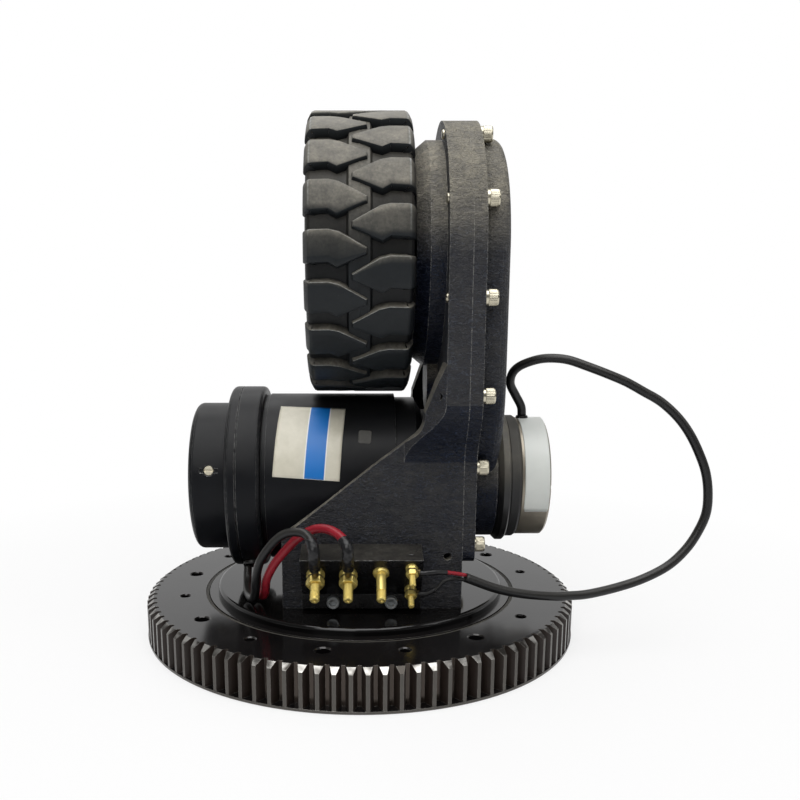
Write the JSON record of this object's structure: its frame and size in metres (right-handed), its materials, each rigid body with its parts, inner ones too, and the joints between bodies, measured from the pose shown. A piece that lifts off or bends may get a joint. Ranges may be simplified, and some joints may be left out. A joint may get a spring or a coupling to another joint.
{
  "type": "drive wheel",
  "caption": "Motorized drive wheel on a toothed slewing ring, with a DC motor, spring-applied brake and cast gear case beside a lugged rubber tyre.",
  "frame": {"origin": "centre of the slewing ring's base, which bolts to the vehicle", "axes": "+X along the wheel's axle towards the brake, +Z along the steering axis from the ring's base to the wheel"},
  "size_m": [0.3823, 0.3006, 0.347],
  "materials": {
    "ring_steel": "black oxide, turned and milled",
    "seal_rubber": "matt",
    "bearing_steel": "ground",
    "spacer_plastic": "moulded",
    "disc_steel": "glossy black oxide",
    "screw_black": "black oxide",
    "casting_black": "black paint on a cast skin",
    "screw_zinc": "zinc plated",
    "terminal_black": "moulded",
    "brass": "turned",
    "tinned": "tinned",
    "sleeve_black": "shrunk sleeve",
    "motor_black": "semi-gloss black paint",
    "magnet_dark": "sintered",
    "phenolic": "pressed laminate",
    "carbon": "carbon",
    "copper": "copper",
    "gear_steel": "hobbed, oiled",
    "rim_paint": "painted",
    "tyre_rubber": "moulded rubber",
    "brake_black": "black phosphate",
    "brake_steel": "turned, phosphated",
    "friction": "moulded friction lining",
    "cable_black": "soft plastic sheath",
    "lead_red": "soft plastic insulation"
  },
  "bodies": {
    "slewing_ring": {"ring_gear": "ring_steel", "ring_seals": "seal_rubber"},
    "ball_set": {"race_balls": "bearing_steel", "ball_spacers": "spacer_plastic"},
    "rotor": {"motor_shaft": "gear_steel", "armature_core": "magnet_dark", "armature_winding": "copper", "commutator": "copper", "motor_pinion": "gear_steel", "brake_hub": "gear_steel", "brake_disc": "friction"},
    "idler": {"idler_shaft": "gear_steel", "idler_gear": "gear_steel"},
    "wheel": {"output_gear": "gear_steel", "axle": "gear_steel", "wheel_rim": "rim_paint", "tyre": "tyre_rubber", "wheel_bolts": "screw_zinc"},
    "brake_armature": {"brake_armature_plate": "brake_steel"},
    "drive_unit": {"inner_ring": "ring_steel", "race_plug": "ring_steel", "base_disc": "disc_steel", "disc_screws": "screw_black", "block_screws": "screw_black", "housing": "casting_black", "gear_cover": "casting_black", "cover_screws": "screw_zinc", "cover_washers": "screw_zinc", "terminal_block": "terminal_black", "terminal_screws": "screw_black", "power_studs": "brass", "power_nuts": "brass", "signal_studs": "brass", "signal_nuts": "brass", "power_lugs": "tinned", "signal_lugs": "tinned", "lead_sleeves": "sleeve_black", "motor_yoke": "motor_black", "brush_housing": "motor_black", "end_cap": "motor_black", "end_cap_screws": "screw_zinc", "motor_flange": "motor_black", "motor_flange_screws": "screw_black", "field_magnets": "magnet_dark", "brush_plate": "phenolic", "brushes": "carbon", "motor_bearings": "bearing_steel", "idler_bearings": "bearing_steel", "axle_bearings": "bearing_steel", "oil_seals": "seal_rubber", "brake_flange": "brake_black", "brake_dust_ring": "seal_rubber", "brake_magnet": "brake_steel", "brake_screws": "screw_zinc", "cable_gland": "cable_black", "lead_grommet": "cable_black", "motor_lead_red": "lead_red", "motor_lead_black": "cable_black", "brake_cable": "cable_black", "brake_cores": "lead_red"}
  },
  "joints": [
    {"name": "steering", "type": "hinge", "parent": "slewing_ring", "child": "drive_unit", "pos_m": [0, 0, 0], "axis": [0, 0, 1], "continuous": true},
    {"name": "ball_orbit", "type": "hinge", "parent": "slewing_ring", "child": "ball_set", "pos_m": [0, 0, 0], "axis": [0, 0, 1], "continuous": true},
    {"name": "rotor_spin", "type": "hinge", "parent": "drive_unit", "child": "rotor", "pos_m": [0, 0, 0.107], "axis": [1, 0, 0], "continuous": true},
    {"name": "idler_spin", "type": "hinge", "parent": "drive_unit", "child": "idler", "pos_m": [0, 0, 0.1745], "axis": [1, 0, 0], "continuous": true},
    {"name": "wheel_spin", "type": "hinge", "parent": "drive_unit", "child": "wheel", "pos_m": [0, 0, 0.257], "axis": [1, 0, 0], "continuous": true},
    {"name": "brake_release", "type": "slide", "parent": "drive_unit", "child": "brake_armature", "axis": [1, 0, 0], "range_m": [0, 0.0003], "stiffness_N_per_m": 2000, "springref_m": -0.002}
  ],
  "couplings": [
    {"joint": "ball_orbit", "follows": "steering", "ratio": 0.4836},
    {"joint": "idler_spin", "follows": "rotor_spin", "ratio": -0.15385},
    {"joint": "wheel_spin", "follows": "rotor_spin", "ratio": 0.037736}
  ]
}
